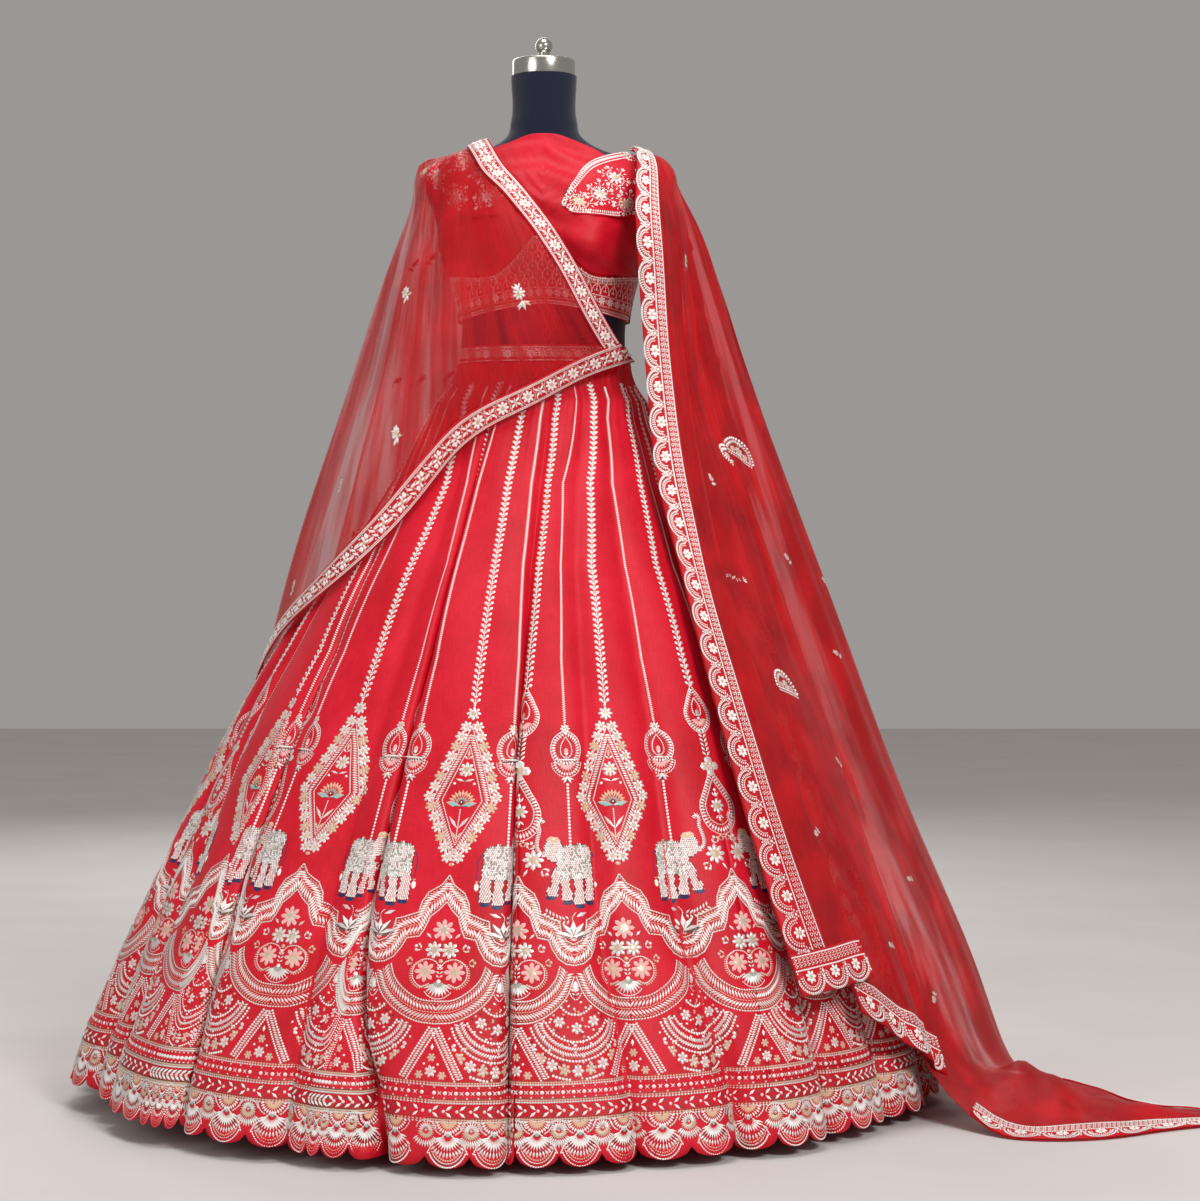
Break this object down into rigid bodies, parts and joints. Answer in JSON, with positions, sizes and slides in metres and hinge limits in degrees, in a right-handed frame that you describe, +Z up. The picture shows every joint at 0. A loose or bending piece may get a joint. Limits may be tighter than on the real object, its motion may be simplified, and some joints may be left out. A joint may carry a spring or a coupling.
{
  "type": "lehenga choli on dress form",
  "caption": "Bridal lehenga choli in crimson silk with heavy beadwork, a net and a silk dupatta, worn by a limbless dress form on a round stand.",
  "frame": {"origin": "on the floor, at the middle of the underside of the dress form's round stand", "axes": "+Z up; the front of the garment faces -Y; the scalloped silk dupatta hangs on the +X side"},
  "size_m": [1.5865, 1.2385, 1.5136],
  "materials": {
    "black_jersey": "dense matt knit, near black",
    "polished_steel": "polished",
    "black_iron": "satin black enamel",
    "red_raw_silk": "crimson raw silk with slubs and a soft sheen",
    "beaded_silk": "crimson silk nearly covered with silver-white beads, cords and sequins",
    "red_net": "sheer crimson net",
    "beaded_net": "net border covered with cream and silver beadwork, piped in red",
    "red_organza": "crimson silk organza, slightly sheer",
    "beaded_organza": "scalloped border of silver-white beads and sequins"
  },
  "bodies": {
    "root": {"choli_back_left": "red_raw_silk", "choli_back_right": "red_raw_silk", "choli_bust_drape": "red_raw_silk", "choli_midriff_band": "beaded_silk", "choli_yoke_left": "beaded_silk", "choli_yoke_right": "beaded_silk", "form_base": "black_iron", "form_finial": "polished_steel", "form_neck_cap": "polished_steel", "form_pole": "polished_steel", "form_torso": "black_jersey", "lehenga_hem_border_1": "beaded_silk", "lehenga_hem_border_2": "beaded_silk", "lehenga_hem_border_3": "beaded_silk", "lehenga_hem_border_4": "beaded_silk", "lehenga_hem_border_5": "beaded_silk", "lehenga_hem_border_6": "beaded_silk", "lehenga_hem_border_7": "beaded_silk", "lehenga_kali_01": "red_raw_silk", "lehenga_kali_02": "red_raw_silk", "lehenga_kali_03": "red_raw_silk", "lehenga_kali_04": "red_raw_silk", "lehenga_kali_05": "red_raw_silk", "lehenga_kali_06": "red_raw_silk", "lehenga_kali_07": "red_raw_silk", "lehenga_kali_08": "red_raw_silk", "lehenga_kali_09": "red_raw_silk", "lehenga_kali_10": "red_raw_silk", "lehenga_kali_11": "red_raw_silk", "lehenga_kali_12": "red_raw_silk", "lehenga_kali_13": "red_raw_silk", "lehenga_kali_14": "red_raw_silk", "lehenga_waistband_back": "beaded_silk", "lehenga_waistband_front": "beaded_silk", "net_dupatta_back": "red_net", "net_dupatta_back_end_border": "beaded_net", "net_dupatta_back_neck_border": "beaded_net", "net_dupatta_end_border": "beaded_net", "net_dupatta_front": "red_net", "net_dupatta_neck_border": "beaded_net", "silk_dupatta_back": "red_organza", "silk_dupatta_back_border": "beaded_organza", "silk_dupatta_pleat_1": "red_organza", "silk_dupatta_pleat_1_edge_border": "beaded_organza", "silk_dupatta_pleat_1_end_border": "beaded_organza", "silk_dupatta_pleat_2": "red_organza", "silk_dupatta_pleat_2_end_border": "beaded_organza", "silk_dupatta_pleat_3": "red_organza", "silk_dupatta_pleat_3_far_border": "beaded_organza", "silk_dupatta_pleat_3_near_border": "beaded_organza"}
  },
  "joints": []
}
